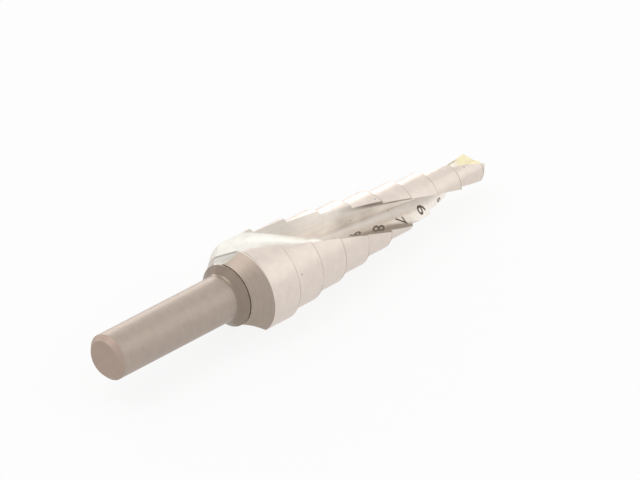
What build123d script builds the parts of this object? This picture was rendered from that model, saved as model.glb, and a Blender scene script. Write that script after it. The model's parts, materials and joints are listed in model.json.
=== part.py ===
from build123d import *
import os
from math import cos, degrees, log, radians, sin, tan

# Spiral-fluted step drill, one ground bar of high-speed steel.
# Sizes are in mm and degrees. Heights are measured along the axis from the end of the shank.

# Shank and collar
shank_diameter = 6.0
shank_length = 20.05
shank_chamfer = 0.63
collar_diameter = 8.1
collar_length = 0.95
collar_bevel_angle = 52.0
collar_root_radius = 0.45
neck_groove_width = 0.2
neck_groove_depth = 0.15
back_cone_length = 2.7

# Steps, from the largest at the back to the smallest at the tip
largest_diameter = 12.0
smallest_diameter = 4.0
diameter_step = 1.0
first_step_length = 4.2
step_length = 4.6
step_bevel_angle = 59.0
land_clearance = 2.3
arcs_per_land = 2

# Flutes: right-hand spirals that follow the cone of the steps
flute_count = 2
helix_angle = 15.3
opening_cone = 44.0
opening_back = 54.5
opening_tip = 103.0
opening_growth = 2.35
web_cone = 7.8
web_middle = 1.8
web_tip = 1.0
rake_root_share = 0.6
heel_root_share = 0.7
runout_start = 38.5
runout_end = 24.5
sections_per_step = 2

# Point
point_angle = 118.0
lip_clearance = 10.0

# How far a cutter reaches past the steel
cut_margin = 1.0

# Heights and rates that follow from the sizes above
collar_top = shank_length + collar_length
head_start = collar_top + neck_groove_width
first_step_start = head_start + back_cone_length
first_rim = first_step_start + first_step_length
step_count = round((largest_diameter - smallest_diameter) / diameter_step) + 1
last_rim = first_rim + (step_count - 1) * step_length
point_height = smallest_diameter / 2 / tan(radians(point_angle / 2))
bevel_height = diameter_step / 2 / tan(radians(step_bevel_angle))
rim_slope = diameter_step / 2 / step_length
relief_rate = tan(radians(land_clearance))
flute_pitch = 360 / flute_count


# Radius of the cone that touches the front rim of every step.
def rim_radius(height):
    return largest_diameter / 2 - (height - first_rim) * rim_slope


# Angle of the cutting edge: a constant helix angle on a cone is a logarithmic spiral.
def edge_angle(height):
    shrink = largest_diameter / 2 / rim_radius(height)
    return degrees(tan(radians(helix_angle)) / rim_slope * log(shrink))


# Angle at the rim from a cutting edge, across its flute, to the heel of the next land. It closes
# from the first rim back to the cone.
def flute_opening(height):
    if height < first_rim:
        closing = min((first_rim - height) / first_step_length, 1)
        return opening_back - (opening_back - opening_cone) * closing
    share = (height - first_rim) / (last_rim - first_rim)
    return opening_back + (opening_tip - opening_back) * share**opening_growth


# Distance from the axis to the flute's floor. The web thickens slowly from the tip, and then the
# grinding wheel is lifted smoothly to the shallow groove that it leaves in the back cone.
def floor_distance(height):
    thickening = (web_middle - web_tip) / (last_rim - runout_start)
    web = web_tip + (last_rim - height) * thickening
    share = min(max((runout_start - height) / (runout_start - runout_end), 0), 1)
    lift = share**2 * (3 - 2 * share)
    return (web + (web_cone - web) * lift) / 2


def polar(radius, angle):
    return (radius * cos(radians(angle)), radius * sin(radians(angle)))


# Shank and collar, turned in one, up to the groove behind the head.
def shank_body():
    shank_radius = shank_diameter / 2
    collar_radius = collar_diameter / 2
    groove_radius = collar_radius - neck_groove_depth
    bevel_length = (collar_radius - shank_radius) / tan(radians(collar_bevel_angle))
    outline = Polyline(
        (0, 0),
        (shank_radius - shank_chamfer, 0),
        (shank_radius, shank_chamfer),
        (shank_radius, shank_length),
        (collar_radius, shank_length + bevel_length),
        (collar_radius, collar_top),
        (groove_radius, collar_top),
        (groove_radius, head_start),
        (0, head_start),
        close=True,
    )
    profile = make_face(outline)
    root = profile.vertices().sort_by_distance((shank_radius, shank_length))[0]
    return revolve(Plane.XZ * fillet(root, collar_root_radius), Axis.Z)


# The cone behind the head, carried on past the largest diameter, so that it bounds the first step.
def back_cone():
    small_radius = collar_diameter / 2
    widening = (largest_diameter / 2 - small_radius) / back_cone_length
    length = first_rim - head_start
    return Pos(0, 0, head_start + length / 2) * Cone(small_radius, small_radius + widening * length, length)


# Point on a relieved land, some way behind its cutting edge: the land falls away as a spiral.
def land_point(diameter, lead, behind):
    return polar(diameter / 2 * (1 - relief_rate * radians(behind)), lead - behind)


# Outline of the lands at one step. Each runs from the middle of one flute to the middle of the next.
def land_outline(diameter, lead, opening):
    edges = []
    span = flute_pitch / arcs_per_land
    for flute in range(flute_count):
        edge = lead + flute * flute_pitch
        for arc in range(arcs_per_land):
            start = arc * span - opening / 2
            behind = (start, start + span / 2, start + span)
            edges.append(ThreePointArc(*[land_point(diameter, edge, angle) for angle in behind]))
        land_end = land_point(diameter, edge, flute_pitch - opening / 2)
        next_start = land_point(diameter, edge - flute_pitch, -opening / 2)
        edges.append(Line(land_end, next_start))
    return make_face(edges)


# One step: its relieved lands, and the bevel down to the next step's diameter.
def step_body(index):
    rim = first_rim + index * step_length
    length = first_step_length if index == 0 else step_length
    start = rim - length
    diameter = largest_diameter - index * diameter_step
    lead = edge_angle((start + rim) / 2)
    opening = flute_opening((start + rim) / 2)
    lands = land_outline(diameter, lead, opening)
    if index == step_count - 1:
        return extrude(Pos(0, 0, start) * lands, length + point_height)
    smaller_lands = land_outline(diameter - diameter_step, lead, opening)
    bevel = loft([Pos(0, 0, rim) * lands, Pos(0, 0, rim + bevel_height) * smaller_lands], ruled=True)
    if index == 0:
        return (extrude(Pos(0, 0, head_start) * lands, rim - head_start) & back_cone()) + bevel
    return extrude(Pos(0, 0, start) * lands, length) + bevel


# Section of a flute across the axis: rake face, rounded root, floor and heel wall.
def flute_section(height):
    half_opening = flute_opening(height) / 2
    floor = floor_distance(height)
    floor_width = 2 * floor * tan(radians(half_opening))
    wall_foot = floor / cos(radians(half_opening))
    wall_top = rim_radius(height) + cut_margin
    rake_foot = polar(wall_foot, -half_opening)
    heel_foot = polar(wall_foot, half_opening)
    rake_top = polar(wall_top, -half_opening)
    heel_top = polar(wall_top, half_opening)
    walls = Polyline(rake_top, rake_foot, heel_foot, heel_top)
    mouth = ThreePointArc(heel_top, (wall_top + cut_margin, 0), rake_top)
    section = make_face(walls + mouth)
    rake_corner = section.vertices().sort_by_distance(rake_foot)[0]
    section = fillet(rake_corner, rake_root_share * floor_width)
    heel_corner = section.vertices().sort_by_distance(heel_foot)[0]
    section = fillet(heel_corner, heel_root_share * floor_width)
    return Pos(0, 0, height) * Rot(0, 0, edge_angle(height) + half_opening) * section


# The room that the grinding wheel sweeps for one flute, from the neck groove to past the tip.
def flute_cutter():
    end = last_rim + point_height + cut_margin
    gaps = step_count * sections_per_step
    heights = [collar_top + (end - collar_top) * i / gaps for i in range(gaps + 1)]
    return loft([flute_section(height) for height in heights])


# Plane of one ground face of the point: it holds the lip and falls away behind it.
def point_face(lead):
    half_point = radians(point_angle / 2)
    clearance = radians(lip_clearance)
    outward = Vector(*polar(1, lead), 0)
    behind = Vector(*polar(1, lead - 90), 0)
    lip = outward * -sin(half_point) + Vector(0, 0, cos(half_point))
    fall = behind * cos(clearance) + Vector(0, 0, -sin(clearance))
    corner = outward * (smallest_diameter / 2) + Vector(0, 0, last_rim)
    return Plane(origin=corner, x_dir=lip, z_dir=lip.cross(fall))


# Point where a flute's edge meets a land: on its cutting edge, or across it on the heel of the next land.
def flute_corner(index, height, on_heel):
    lead = edge_angle(first_rim + (index - 0.5) * step_length)
    angle = edge_angle(height)
    if on_heel:
        lead += flute_pitch
        angle += flute_opening(height)
    diameter = largest_diameter - index * diameter_step
    return Vector(*land_point(diameter, lead, lead - angle), height)


# Plane that the drill lies on, across the mouth of one flute: the heel of the largest step is on
# one side of it, and the cutting edges of the next two steps are on the other.
def resting_plane():
    heel = flute_corner(0, first_rim - step_length / 2, True)
    second = flute_corner(1, first_rim + step_length, False)
    third = flute_corner(2, first_rim + 2 * step_length, False)
    up = (second - heel).cross(third - heel)
    if up.dot(heel) > 0:
        up = -up
    along = Vector(0, 0, 1) - up * (up.Z / up.length**2)
    return Plane(origin=heel, x_dir=along, z_dir=up)


drill = shank_body()
for index in range(step_count):
    drill += step_body(index)
cutter = flute_cutter()
for flute in range(flute_count):
    drill -= Rot(0, 0, flute * flute_pitch) * cutter
for lip in range(flute_count):
    lip_plane = point_face(edge_angle(last_rim) + lip * flute_pitch)
    drill = split(drill, bisect_by=lip_plane, keep=Keep.BOTTOM)

# Lay it at rest along X, tip towards +X, with the origin under the middle of its bounding box.
drill = resting_plane().to_local_coords(drill)
box = drill.bounding_box()
drill = Pos(-box.center().X, -box.center().Y, -box.min.Z) * drill

os.makedirs("parts", exist_ok=True)
export_step(drill, "parts/step_drill.step")
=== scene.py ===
import json
import math
import bmesh
import bpy
from mathutils import Matrix, Vector
from mathutils.bvhtree import BVHTree


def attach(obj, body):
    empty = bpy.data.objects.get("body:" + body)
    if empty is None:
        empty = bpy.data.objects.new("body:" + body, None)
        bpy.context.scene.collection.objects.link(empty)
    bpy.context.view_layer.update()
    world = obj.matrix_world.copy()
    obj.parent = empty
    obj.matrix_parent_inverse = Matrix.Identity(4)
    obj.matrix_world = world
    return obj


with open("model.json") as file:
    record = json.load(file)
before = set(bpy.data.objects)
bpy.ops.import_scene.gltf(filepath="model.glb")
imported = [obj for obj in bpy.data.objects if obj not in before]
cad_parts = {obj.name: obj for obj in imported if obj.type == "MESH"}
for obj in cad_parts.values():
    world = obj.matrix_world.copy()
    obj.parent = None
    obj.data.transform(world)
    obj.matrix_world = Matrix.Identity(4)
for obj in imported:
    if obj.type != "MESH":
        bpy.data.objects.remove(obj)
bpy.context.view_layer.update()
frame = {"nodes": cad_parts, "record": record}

millimetre = 0.001
noiseSpan = (0.3, 0.7)  # most of a noise texture's values lie between these
print("frame loaded")


def linear(hexColour):
    # sRGB hex to the linear colour that the shaders use
    parts = [int(hexColour[i:i + 2], 16) / 255 for i in (1, 3, 5)]
    return [p / 12.92 if p <= 0.04045 else ((p + 0.055) / 1.055) ** 2.4 for p in parts] + [1]


def addNode(tree, kind, settings=None, inputs=None):
    # one node, with its settings, and its inputs as sockets to link or values to set
    node = tree.nodes.new(kind)
    for name, value in (settings or {}).items():
        setattr(node, name, value)
    for name, value in (inputs or {}).items():
        if isinstance(value, bpy.types.NodeSocket):
            tree.links.new(value, node.inputs[name])
        else:
            node.inputs[name].default_value = value
    return node


def emptyMaterial(name):
    material = bpy.data.materials.new(name)
    material.use_nodes = True
    material.node_tree.nodes.clear()
    return material


# the drill: one piece of high-speed steel
drill = {
    # sizes in mm, with heights along the drill from the end of the shank
    "shankEnd": 0.63,  # end of the chamfer on the shank
    "firstRim": 28.1,  # front edge of the 12 mm step
    "lastRim": 64.9,  # front edge of the 4 mm step
    "stepLength": 4.6,
    "largestRadius": 6.0,
    "rimSlope": 0.5 / 4.6,  # loss of radius for each mm along the drill
    "helixAngle": 15.3,  # degrees
    # lines that slant in the flutes: mm added to the height for each mm from the axis
    "slants": {"troughSlant": 2.09, "endSlant": 5.4, "heelSlant": -4.0},
    "flute": {"colour": "#fbf5ee", "roughness": 0.55},  # lies under all the others
    # Each finish is laid over the ones before it. A pair is where it starts and where it is full, by one of
    # the measures in measureDrill, and it lies where all of its pairs are full. Where all the pairs of
    # "thinner" are full, only the share "left" of it stays.
    "finishes": {
        # the rake face, darker towards the back of the flute
        "backRake": {"colour": "#d8d0c7", "roughness": 0.5,
                     "where": {"facingRound": (0.3, 0.8), "along": (38.5, 32.0)}},
        "floor": {"colour": "#dad1c8", "roughness": 0.55, "where": {"radius": (1.7, 0.9)}},
        # painted shade: a dark reflection on the heel wall, painted into its colour
        "heel": {"colour": "#aea499", "roughness": 0.42,
                 "where": {"heelSlant": (41.5, 39.1), "radius": (1.3, 2.5), "along": (38.0, 41.5),
                           "facingRound": (-0.4, -0.8)}},
        # painted shadow: the dark line under the cutting edge
        "shadedRake": {"colour": "#aca197", "roughness": 0.4,
                       "where": {"facingRound": (0.8, 0.9), "radiusShare": (0.74, 0.86),
                                 "along": (40.0, 45.0)}},
        # the bright round trough at the back of each flute, and a painted shade at its end
        "trough": {"colour": "#f1eee6", "roughness": 0.34, "where": {"troughSlant": (39.75, 39.45)}},
        "troughEnd": {"colour": "#a19b94", "roughness": 0.4,
                      "where": {"endSlant": (48.65, 48.25), "along": (25.3, 24.8)},
                      "thinner": {"endSlant": (48.05, 46.65)}, "left": 0.45},
        # the temper colour at the tip
        "straw": {"colour": "#efe5c0", "roughness": 0.35, "where": {"stained": (62.2, 63.6)}},
        "land": {"colour": "#ded2c8", "roughness": 0.36,
                 "where": {"facingOut": (0.86, 0.9), "radiusShare": (0.7, 0.72)}},
        "rim": {"colour": "#bdb1a6", "roughness": 0.4},  # painted shade along the step rims, placed by rimMask
        # the cone behind the head, darker partly for its turned finish and partly as a painted dark
        # reflection, with a painted highlight in one patch on its +Y side
        "cone": {"colour": "#a89a8e", "roughness": 0.42,
                 "where": {"along": (24.1, 24.05), "facingTip": (-0.4, -0.45)},
                 "thinner": {"sideways": (2.8, 3.6), "upward": (0.3, 1.2)}, "left": 0.3},
        # the collar, darker partly for its turned finish and partly as a painted dark reflection
        "collar": {"colour": "#8e8074", "roughness": 0.28, "where": {"along": (21.2, 21.16)}},
        # the shank, darker partly for its turned finish and partly as a painted dark reflection
        "shank": {"colour": "#afa196", "roughness": 0.42, "where": {"along": (19.9, 19.7)}},
        "end": {"colour": "#ae9b8f", "roughness": 0.5, "where": {"along": (0.63, 0.58)}},
        "pit": {"colour": "#6b5f55", "roughness": 0.7},  # placed by pitMask
    },
    "rimLine": 0.16,  # mm, the painted shade line along the front edge of each step
    "rimShadeNoise": (0.38, 0.58),  # noise from which that painted shade line is broken up, and where it is full
    "rimShadeLeast": 0.25,  # share of the painted shade elsewhere on the line
    "rimShadeScale": 0.4,  # patches for each mm
    "bevelFaces": (0.6, 0.7),  # facingTip, where the bevels of the steps start and are full
    "bevelShare": 0.5,  # how much of the painted shade a bevel has
    "stainScale": 0.9,  # patches for each mm
    "stainShift": 0.7,  # mm by which they move the edge of the temper colour
    "clouding": 0.06,  # change of brightness in them, for each mm of that
    "turnedSpacing": 0.22,  # mm between turning marks, drawn twice as coarse as real
    "grindSpacing": 0.3,  # mm between grinding lines, drawn three times as coarse as real
    "grindStretch": 0.05,  # how fast a grinding line changes along the flute, against across it
    "markHeight": 0.006,  # mm
    "stepMarks": 0.012,  # change of brightness by the marks on the steps
    "otherMarks": 0.03,  # the same in the flutes and on the turned back end
    "edgeRounding": 0.03,  # mm, the light hone on every edge
    # pits in the steel, mm, in the frame of the part
    "pits": [(-3.83, -4.81, 7.21), (9.40, -0.32, 6.71), (15.91, -0.58, 5.20),
             (13.01, -0.96, 8.56), (15.09, 0.85, 7.88), (29.26, -0.93, 5.75)],
    "pitSize": 0.1,
}

# the drill lies along its axis, from the end of the shank to the tip, with side and up across it
mount = frame["record"]["mounts"][0]
halfShank = mount["dims"]["length_mm"] / 2 * millimetre
axis = -Vector(mount["axis"]).normalized()
side = Vector((0, 1, 0))
up = axis.cross(side)
endPoint = Vector(mount["pos_m"]) - axis * (halfShank + drill["shankEnd"] * millimetre)

# a cutting edge with a constant helix angle turns by this, times the logarithm of the drill's narrowing
twistRate = math.tan(math.radians(drill["helixAngle"])) / drill["rimSlope"]


def measureDrill(tree):
    # Measures of a point on the drill: along is mm from the end of the shank, radius mm from the axis,
    # sideways and upward mm across it, and radiusShare the radius against that of the steps' rims here.
    # facingTip, facingOut and facingRound say how much of the surface's normal points to the tip, outwards
    # or round the drill.
    place = addNode(tree, "ShaderNodeTexCoord").outputs["Object"]
    normal = addNode(tree, "ShaderNodeNewGeometry").outputs["Normal"]
    fromEnd = addNode(tree, "ShaderNodeVectorMath", {"operation": "SUBTRACT"},
                      {0: place, 1: endPoint}).outputs[0]
    inMm = addNode(tree, "ShaderNodeVectorMath", {"operation": "SCALE"},
                   {0: fromEnd, "Scale": 1 / millimetre}).outputs[0]
    at = {"place": place, "inMm": inMm}
    for name, vector, way in (("along", inMm, axis), ("sideways", inMm, side), ("upward", inMm, up),
                              ("facingTip", normal, axis), ("facingSide", normal, side),
                              ("facingUp", normal, up)):
        at[name] = addNode(tree, "ShaderNodeVectorMath", {"operation": "DOT_PRODUCT"},
                           {0: vector, 1: way}).outputs["Value"]
    at["onDrill"] = addNode(tree, "ShaderNodeCombineXYZ", None,
                            {"X": at["along"], "Y": at["sideways"], "Z": at["upward"]}).outputs[0]

    spoke = addNode(tree, "ShaderNodeCombineXYZ", None, {"Y": at["sideways"], "Z": at["upward"]}).outputs[0]
    at["radius"] = addNode(tree, "ShaderNodeVectorMath", {"operation": "LENGTH"},
                           {0: spoke}).outputs["Value"]
    outward = addNode(tree, "ShaderNodeVectorMath", {"operation": "NORMALIZE"}, {0: spoke}).outputs[0]
    around = addNode(tree, "ShaderNodeVectorMath", {"operation": "CROSS_PRODUCT"},
                     {0: (1, 0, 0), 1: outward}).outputs[0]
    facing = addNode(tree, "ShaderNodeCombineXYZ", None,
                     {"X": at["facingTip"], "Y": at["facingSide"], "Z": at["facingUp"]}).outputs[0]
    for name, way in (("facingOut", outward), ("facingRound", around)):
        at[name] = addNode(tree, "ShaderNodeVectorMath", {"operation": "DOT_PRODUCT"},
                           {0: facing, 1: way}).outputs["Value"]

    at["pastRim"] = addNode(tree, "ShaderNodeMath", {"operation": "SUBTRACT"},
                            {0: at["along"], 1: drill["firstRim"]}).outputs[0]
    narrowing = addNode(tree, "ShaderNodeMath", {"operation": "MULTIPLY"},
                        {0: at["pastRim"], 1: drill["rimSlope"]}).outputs[0]
    at["rimRadius"] = addNode(tree, "ShaderNodeMath", {"operation": "SUBTRACT"},
                              {0: drill["largestRadius"], 1: narrowing}).outputs[0]
    at["radiusShare"] = addNode(tree, "ShaderNodeMath", {"operation": "DIVIDE"},
                                {0: at["radius"], 1: at["rimRadius"]}).outputs[0]
    for name, slant in drill["slants"].items():
        at[name] = addNode(tree, "ShaderNodeMath", {"operation": "MULTIPLY_ADD"},
                           {0: at["radius"], 1: slant, 2: at["along"]}).outputs[0]

    # the height, moved to and fro in soft patches
    stain = addNode(tree, "ShaderNodeTexNoise", {"noise_dimensions": "3D"},
                    {"Vector": at["onDrill"], "Scale": drill["stainScale"], "Detail": 3.0,
                     "Roughness": 0.55}).outputs[0]
    at["stainShift"] = addNode(tree, "ShaderNodeMapRange", None,
                               {"Value": stain, "From Min": noiseSpan[0], "From Max": noiseSpan[1],
                                "To Min": -drill["stainShift"], "To Max": drill["stainShift"]}).outputs[0]
    at["stained"] = addNode(tree, "ShaderNodeMath", {"operation": "ADD"},
                            {0: at["along"], 1: at["stainShift"]}).outputs[0]
    return at


def rampMask(tree, at, ramps):
    # 1 where all the ramps are full, 0 where one hasn't started
    mask = 1.0
    for measure, (start, full) in ramps.items():
        ramp = addNode(tree, "ShaderNodeMapRange", None,
                       {"Value": at[measure], "From Min": start, "From Max": full}).outputs[0]
        mask = addNode(tree, "ShaderNodeMath", {"operation": "MULTIPLY"}, {0: mask, 1: ramp}).outputs[0]
    return mask


def rimMask(tree, at, onLand):
    # painted shade: an uneven dark line along the front edge of each step, and the bevel in front of it,
    # darkened
    stepShare = addNode(tree, "ShaderNodeMath", {"operation": "DIVIDE"},
                        {0: at["pastRim"], 1: drill["stepLength"]}).outputs[0]
    stepPlace = addNode(tree, "ShaderNodeMath", {"operation": "FRACT"}, {0: stepShare}).outputs[0]
    lineShare = drill["rimLine"] / drill["stepLength"]
    nearRim = addNode(tree, "ShaderNodeMapRange", None,
                      {"Value": stepPlace, "From Min": 1 - lineShare,
                       "From Max": 1 - lineShare / 2}).outputs[0]
    shadeBreakup = addNode(tree, "ShaderNodeTexNoise", {"noise_dimensions": "3D"},
                      {"Vector": at["inMm"], "Scale": drill["rimShadeScale"], "Detail": 2.0}).outputs[0]
    brokenShade = addNode(tree, "ShaderNodeMapRange", None,
                     {"Value": shadeBreakup, "From Min": drill["rimShadeNoise"][0],
                      "From Max": drill["rimShadeNoise"][1], "To Min": drill["rimShadeLeast"]}).outputs[0]
    rimShaded = addNode(tree, "ShaderNodeMath", {"operation": "MULTIPLY"},
                        {0: nearRim, 1: brokenShade}).outputs[0]
    rimOnLand = addNode(tree, "ShaderNodeMath", {"operation": "MULTIPLY"},
                        {0: rimShaded, 1: onLand}).outputs[0]
    bevel = rampMask(tree, at, {"facingTip": drill["bevelFaces"]})
    onBevel = addNode(tree, "ShaderNodeMath", {"operation": "MULTIPLY"},
                      {0: bevel, 1: drill["bevelShare"]}).outputs[0]
    return addNode(tree, "ShaderNodeMath", {"operation": "MAXIMUM"}, {0: rimOnLand, 1: onBevel}).outputs[0]


def pitMask(tree, at):
    pitted = 0.0
    for pit in drill["pits"]:
        away = addNode(tree, "ShaderNodeVectorMath", {"operation": "DISTANCE"},
                       {0: at["place"], 1: Vector(pit) * millimetre}).outputs["Value"]
        here = addNode(tree, "ShaderNodeMapRange", None,
                       {"Value": away, "From Min": drill["pitSize"] * millimetre,
                        "From Max": drill["pitSize"] / 2 * millimetre}).outputs[0]
        pitted = addNode(tree, "ShaderNodeMath", {"operation": "MAXIMUM"}, {0: pitted, 1: here}).outputs[0]
    return pitted


def finishMasks(tree, at):
    masks = {}
    for name, finish in drill["finishes"].items():
        if "where" in finish:
            masks[name] = rampMask(tree, at, finish["where"])
        if "thinner" in finish:
            thinner = rampMask(tree, at, finish["thinner"])
            left = addNode(tree, "ShaderNodeMapRange", None,
                           {"Value": thinner, "To Min": 1.0, "To Max": finish["left"]}).outputs[0]
            masks[name] = addNode(tree, "ShaderNodeMath", {"operation": "MULTIPLY"},
                                  {0: masks[name], 1: left}).outputs[0]
    masks["rim"] = rimMask(tree, at, masks["land"])
    masks["pit"] = pitMask(tree, at)
    return masks


def toolMarks(tree, at, onLand, behind):
    # rings run round the lands and the turned back end, and grinding lines run along the flutes
    rings = addNode(tree, "ShaderNodeCombineXYZ", None, {"X": at["along"], "Y": at["radius"]}).outputs[0]
    ringMarks = addNode(tree, "ShaderNodeTexNoise", {"noise_dimensions": "2D"},
                        {"Vector": rings, "Scale": 1 / drill["turnedSpacing"], "Detail": 2.0}).outputs[0]
    shrink = addNode(tree, "ShaderNodeMath", {"operation": "DIVIDE"},
                     {0: drill["largestRadius"], 1: at["rimRadius"]}).outputs[0]
    logShrink = addNode(tree, "ShaderNodeMath", {"operation": "LOGARITHM"},
                        {0: shrink, 1: math.e}).outputs[0]
    turn = addNode(tree, "ShaderNodeMath", {"operation": "MULTIPLY"},
                   {0: logShrink, 1: -twistRate}).outputs[0]
    untwisted = addNode(tree, "ShaderNodeVectorRotate", {"rotation_type": "X_AXIS"},
                        {"Vector": at["onDrill"], "Angle": turn}).outputs[0]
    stretched = addNode(tree, "ShaderNodeVectorMath", {"operation": "MULTIPLY"},
                        {0: untwisted, 1: (drill["grindStretch"], 1, 1)}).outputs[0]
    fluteLines = addNode(tree, "ShaderNodeTexNoise", {"noise_dimensions": "3D"},
                         {"Vector": stretched, "Scale": 1 / drill["grindSpacing"], "Detail": 2.0}).outputs[0]
    marks = fluteLines
    for ringed in (onLand, behind):
        marks = addNode(tree, "ShaderNodeMix", {"data_type": "FLOAT"},
                        {"Factor": ringed, "A": marks, "B": ringMarks}).outputs[0]
    return marks


def groundHighSpeedSteel():
    # Hardened high-speed steel: bright ground lands and flutes with fine lines along the cut, a duller turned
    # shank, collar and cone with rings round them, and a faint straw temper colour at the tip.
    # Painted light: the darker shank, collar and cone partly stand in for dark reflections, and painted
    # shade, shadow and a highlight lie in the flutes, on the step rims and on the cone.
    material = emptyMaterial("groundHighSpeedSteel")
    tree = material.node_tree
    at = measureDrill(tree)
    masks = finishMasks(tree, at)

    # sockets 6 and 7 of a colour mix are its A and B
    colour = linear(drill["flute"]["colour"])
    roughness = drill["flute"]["roughness"]
    for name, finish in drill["finishes"].items():
        colour = addNode(tree, "ShaderNodeMix", {"data_type": "RGBA"},
                         {"Factor": masks[name], 6: colour, 7: linear(finish["colour"])}).outputs[2]
        roughness = addNode(tree, "ShaderNodeMix", {"data_type": "FLOAT"},
                            {"Factor": masks[name], "A": roughness, "B": finish["roughness"]}).outputs[0]

    # the marks hardly show on the ground steps, and more in the flutes and on the turned back end
    behind = addNode(tree, "ShaderNodeMath", {"operation": "MAXIMUM"},
                     {0: masks["cone"], 1: masks["collar"]}).outputs[0]
    marks = toolMarks(tree, at, masks["land"], behind)
    offSteps = addNode(tree, "ShaderNodeMath", {"operation": "SUBTRACT", "use_clamp": True},
                       {0: 1.0, 1: masks["land"]}).outputs[0]
    rougher = addNode(tree, "ShaderNodeMath", {"operation": "MAXIMUM"}, {0: offSteps, 1: behind}).outputs[0]
    markDepth = addNode(tree, "ShaderNodeMapRange", None,
                        {"Value": rougher, "To Min": drill["stepMarks"],
                         "To Max": drill["otherMarks"]}).outputs[0]
    markHeight = addNode(tree, "ShaderNodeMapRange", None,
                         {"Value": marks, "From Min": noiseSpan[0], "From Max": noiseSpan[1],
                          "To Min": -1.0}).outputs[0]
    clouding = addNode(tree, "ShaderNodeMath", {"operation": "MULTIPLY_ADD"},
                       {0: at["stainShift"], 1: drill["clouding"], 2: 1.0}).outputs[0]
    shade = addNode(tree, "ShaderNodeMath", {"operation": "MULTIPLY_ADD"},
                    {0: markHeight, 1: markDepth, 2: clouding}).outputs[0]
    shaded = addNode(tree, "ShaderNodeVectorMath", {"operation": "SCALE"},
                     {0: colour, "Scale": shade}).outputs[0]
    worn = addNode(tree, "ShaderNodeMath", {"operation": "MULTIPLY"}, {0: roughness, 1: shade}).outputs[0]

    honed = addNode(tree, "ShaderNodeBevel", {"samples": 4},
                    {"Radius": drill["edgeRounding"] * millimetre}).outputs[0]
    bumped = addNode(tree, "ShaderNodeBump", None,
                     {"Strength": 0.2, "Distance": drill["markHeight"] * millimetre, "Height": marks,
                      "Normal": honed}).outputs[0]
    shader = addNode(tree, "ShaderNodeBsdfPrincipled", None,
                     {"Base Color": shaded, "Metallic": 1.0, "Roughness": worn, "Normal": bumped}).outputs[0]
    addNode(tree, "ShaderNodeOutputMaterial", None, {"Surface": shader})
    return material


drillBody = frame["nodes"]["step_drill"]
steel = groundHighSpeedSteel()
for slot in drillBody.material_slots:
    slot.link = "OBJECT"
    slot.material = steel
print("drill finished")

# size numbers: marked on the heel wall of the upper flute, tops to the tip
numbers = {
    "lift": 0.015,  # mm off the steel
    "boldness": 0.015,  # mm added round each stroke
    "digitShare": 0.69,  # height of a digit against the size of the type
    "burnt": "#5f5247",
    "bared": "#968a7d",  # where a little steel shows through
    "speckles": 6000.0,  # for each metre, so 0.17 mm each, drawn coarser than real
    "speckleNoise": (0.45, 0.75),  # noise from which the steel shows, and where it shows most
    # the heel wall: degrees round from +Y to the cutting edge at the 12 mm rim, degrees across the flute at
    # the 12 mm and the 4 mm rim, and the power by which that grows in between
    "rakePlace": 55.9,
    "openingBack": 54.5,
    "openingTip": 103.0,
    "openingGrowth": 2.35,
    # mm from the shank's end and from the axis, height in mm, width against the font's, and the lean outward
    # of the stem and of the foot in degrees
    "marks": {"4": (62.4, 1.15, 0.9, 1.3, 0, 0), "5": (58.45, 1.92, 0.7, 1.3, 0, 0),
              "6": (54.5, 1.7, 1.45, 1.45, 0, 0), "7": (50.0, 1.95, 1.3, 1.5, 15, 10),
              "8": (45.6, 2.2, 1.7, 1.9, 15, 46), "9": (42.0, 1.7, 1.6, 1.7, 15, 46),
              "10": (37.6, 2.5, 1.4, 1.3, 0, 0), "11": (33.2, 3.75, 1.2, 1.3, 0, 0),
              "12": (29.2, 4.2, 0.9, 1.2, 0, 0)},
}


def laserMarkedSteel():
    # Laser-marked steel: a thin brown-black oxide burnt into the surface, matt beside the ground metal, with
    # a speckled tone where a little bare steel shows through.
    material = emptyMaterial("laserMarkedSteel")
    tree = material.node_tree
    place = addNode(tree, "ShaderNodeTexCoord").outputs["Object"]
    speckle = addNode(tree, "ShaderNodeTexNoise", None,
                      {"Vector": place, "Scale": numbers["speckles"], "Detail": 2.0}).outputs[0]
    bareShare = addNode(tree, "ShaderNodeMapRange", None,
                        {"Value": speckle, "From Min": numbers["speckleNoise"][0],
                         "From Max": numbers["speckleNoise"][1]}).outputs[0]
    colour = addNode(tree, "ShaderNodeMix", {"data_type": "RGBA"},
                     {"Factor": bareShare, 6: linear(numbers["burnt"]),
                      7: linear(numbers["bared"])}).outputs[2]
    shader = addNode(tree, "ShaderNodeBsdfPrincipled", None,
                     {"Base Color": colour, "Metallic": 0.3, "Roughness": 0.6}).outputs[0]
    addNode(tree, "ShaderNodeOutputMaterial", None, {"Surface": shader})
    return material


def flatNumber(text, tall):
    # the number as a flat mesh, cut fine enough to follow the curved wall
    curve = bpy.data.curves.new("number" + text, "FONT")
    curve.body = text
    curve.size = tall / numbers["digitShare"]
    curve.offset = numbers["boldness"]
    curve.align_x = "CENTER"
    curve.resolution_u = 4
    writing = bpy.data.objects.new("number" + text, curve)
    flat = bpy.data.meshes.new_from_object(writing)
    digits = bmesh.new()
    digits.from_mesh(flat)
    bpy.data.objects.remove(writing)
    bpy.data.meshes.remove(flat)
    bmesh.ops.triangulate(digits, faces=digits.faces[:])
    bmesh.ops.subdivide_edges(digits, edges=digits.edges[:], cuts=3, use_grid_fill=True)
    return digits


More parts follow.
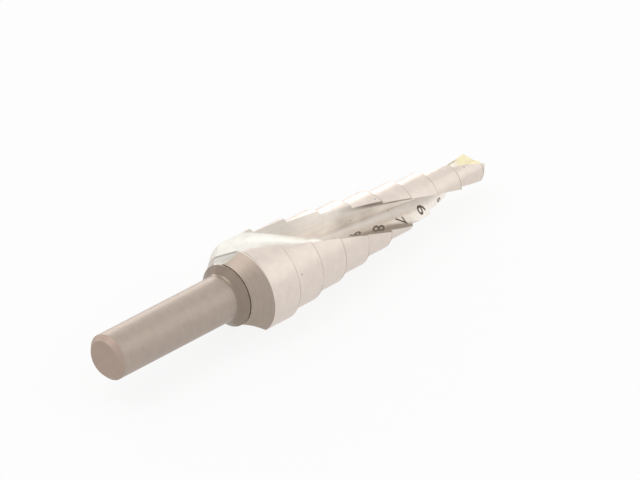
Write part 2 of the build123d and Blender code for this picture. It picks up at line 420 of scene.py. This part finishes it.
def heelWallPoint(along, out):
    # a point by the heel wall, from its height along the drill and its distance from the axis, in mm
    pastRim = along - drill["firstRim"]
    share = max(pastRim, 0) / (drill["lastRim"] - drill["firstRim"])
    growth = share ** numbers["openingGrowth"]
    opening = numbers["openingBack"] + (numbers["openingTip"] - numbers["openingBack"]) * growth
    rimRadius = drill["largestRadius"] - pastRim * drill["rimSlope"]
    edge = twistRate * math.log(drill["largestRadius"] / rimRadius)
    angle = edge + math.radians(numbers["rakePlace"] + opening)
    outward = side * math.cos(angle) + up * math.sin(angle)
    return endPoint + (axis * along + outward * out) * millimetre


def markNumbers():
    surface = BVHTree.FromObject(drillBody, bpy.context.evaluated_depsgraph_get())
    marked = bmesh.new()
    for text, (along, out, tall, wide, stemLean, footLean) in numbers["marks"].items():
        digits = flatNumber(text, tall)
        stem = Matrix.Rotation(math.radians(-stemLean), 3, "Z") @ Vector((0, 1, 0))
        foot = Matrix.Rotation(math.radians(-footLean), 3, "Z") @ Vector((1, 0, 0))
        for point in digits.verts:
            spot = foot * point.co.x * wide + stem * (point.co.y - tall / 2)
            hit, normal = surface.find_nearest(heelWallPoint(along + spot.y, out + spot.x))[:2]
            point.co = hit + normal * numbers["lift"] * millimetre
        piece = bpy.data.meshes.new("number" + text)
        digits.to_mesh(piece)
        digits.free()
        marked.from_mesh(piece)
        bpy.data.meshes.remove(piece)
    mesh = bpy.data.meshes.new("sizeNumbers")
    marked.to_mesh(mesh)
    marked.free()
    mesh.materials.append(laserMarkedSteel())
    sizeNumbers = bpy.data.objects.new("sizeNumbers", mesh)
    bpy.context.scene.collection.objects.link(sizeNumbers)
    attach(sizeNumbers, "root")
    print("numbers marked:", len(mesh.polygons), "faces")


markNumbers()

# studio: pale floor, soft light, white surround
studio = {
    "floorSize": 6.0,  # m
    "floorColour": "#f4f4f3",
    "floorGlow": 0.85,  # share of the surround's white in the floor as it is seen, which softens the shadow
    "stipples": 400.0,  # across the floor, so 15 mm each, drawn coarser than a roller leaves
    "stippleHeight": 0.2,  # mm
    "surround": "#ffffff",
    "fillStrength": 0.75,  # what the surround gives matt surfaces
    "lamps": {  # place in m, width and height in m, power in W
        "keySoftbox": ((-0.5, 0.6, 1.6), (1.6, 1.6), 8.0),
        "farStrip": ((0.75, 1.6, 0.3), (3.0, 0.7), 9.0),
        "nearSoftbox": ((0.95, -0.9, 0.9), (1.2, 1.2), 1.1),
    },
}


def seenDirectly(tree):
    # 1 for the camera, and for what metal or glass shows of the surround
    rays = addNode(tree, "ShaderNodeLightPath").outputs
    seen = rays["Is Camera Ray"]
    for ray in ("Is Glossy Ray", "Is Transmission Ray"):
        seen = addNode(tree, "ShaderNodeMath", {"operation": "MAXIMUM"}, {0: seen, 1: rays[ray]}).outputs[0]
    return seen


def paleFloorPaint():
    # Matt white paint, rolled: no gloss, only a very faint stipple. It stays white to the eye and keeps the
    # shadow.
    material = emptyMaterial("paleFloorPaint")
    tree = material.node_tree
    stipple = addNode(tree, "ShaderNodeTexNoise", None,
                      {"Scale": studio["stipples"], "Detail": 2.0}).outputs[0]
    bump = addNode(tree, "ShaderNodeBump", None,
                   {"Strength": 0.05, "Distance": studio["stippleHeight"] * millimetre,
                    "Height": stipple}).outputs[0]
    paint = addNode(tree, "ShaderNodeBsdfPrincipled", None,
                    {"Base Color": linear(studio["floorColour"]), "Roughness": 0.9,
                     "Specular IOR Level": 0.1, "Normal": bump}).outputs[0]
    white = addNode(tree, "ShaderNodeEmission", None, {"Color": linear(studio["surround"])}).outputs[0]
    share = addNode(tree, "ShaderNodeMath", {"operation": "MULTIPLY"},
                    {0: seenDirectly(tree), 1: studio["floorGlow"]}).outputs[0]
    mixed = addNode(tree, "ShaderNodeMixShader", None, {0: share, 1: paint, 2: white}).outputs[0]
    addNode(tree, "ShaderNodeOutputMaterial", None, {"Surface": mixed})
    return material


def layFloor():
    half = studio["floorSize"] / 2
    corners = [(-half, -half, 0), (half, -half, 0), (half, half, 0), (-half, half, 0)]
    mesh = bpy.data.meshes.new("floor")
    mesh.from_pydata(corners, [], [(0, 1, 2, 3)])
    floor = bpy.data.objects.new("floor", mesh)
    bpy.context.scene.collection.objects.link(floor)
    mesh.materials.append(paleFloorPaint())


def lightScene():
    world = bpy.data.worlds.new("whiteSurround")
    world.use_nodes = True
    tree = world.node_tree
    tree.nodes.clear()
    strength = addNode(tree, "ShaderNodeMapRange", None,
                       {"Value": seenDirectly(tree), "To Min": studio["fillStrength"],
                        "To Max": 1.0}).outputs[0]
    sky = addNode(tree, "ShaderNodeBackground", None,
                  {"Color": linear(studio["surround"]), "Strength": strength}).outputs[0]
    addNode(tree, "ShaderNodeOutputWorld", None, {"Surface": sky})
    bpy.context.scene.world = world

    for name, (place, size, power) in studio["lamps"].items():
        lamp = bpy.data.lights.new(name, "AREA")
        lamp.shape = "RECTANGLE"
        lamp.size, lamp.size_y = size
        lamp.energy = power
        lampObject = bpy.data.objects.new(name, lamp)
        bpy.context.scene.collection.objects.link(lampObject)
        lampObject.location = place
        lampObject.rotation_euler = (-Vector(place)).to_track_quat("-Z", "Y").to_euler()


layFloor()
lightScene()
print("studio lit")

# camera
camera = {
    "place": (-0.6112209, -0.5713995, 0.5894251),
    "aim": (0.0029782, -0.0012607, 0.0073080),
    "roll": 2.2727,  # degrees
    "lens": 466.4,  # mm
    "sensor": 36,  # mm wide
}


def setCamera():
    lens = bpy.data.cameras.new("longLens")
    lens.lens = camera["lens"]
    lens.sensor_width = camera["sensor"]
    lens.clip_start = 0.05
    lens.clip_end = 20
    body = bpy.data.objects.new("longLens", lens)
    bpy.context.scene.collection.objects.link(body)
    sight = Vector(camera["aim"]) - Vector(camera["place"])
    roll = Matrix.Rotation(math.radians(camera["roll"]), 3, "Z")
    turned = sight.to_track_quat("-Z", "Y").to_matrix() @ roll
    body.matrix_world = Matrix.Translation(camera["place"]) @ turned.to_4x4()
    bpy.context.scene.camera = body


setCamera()
bpy.context.scene.view_settings.view_transform = "Standard"
print("camera set")
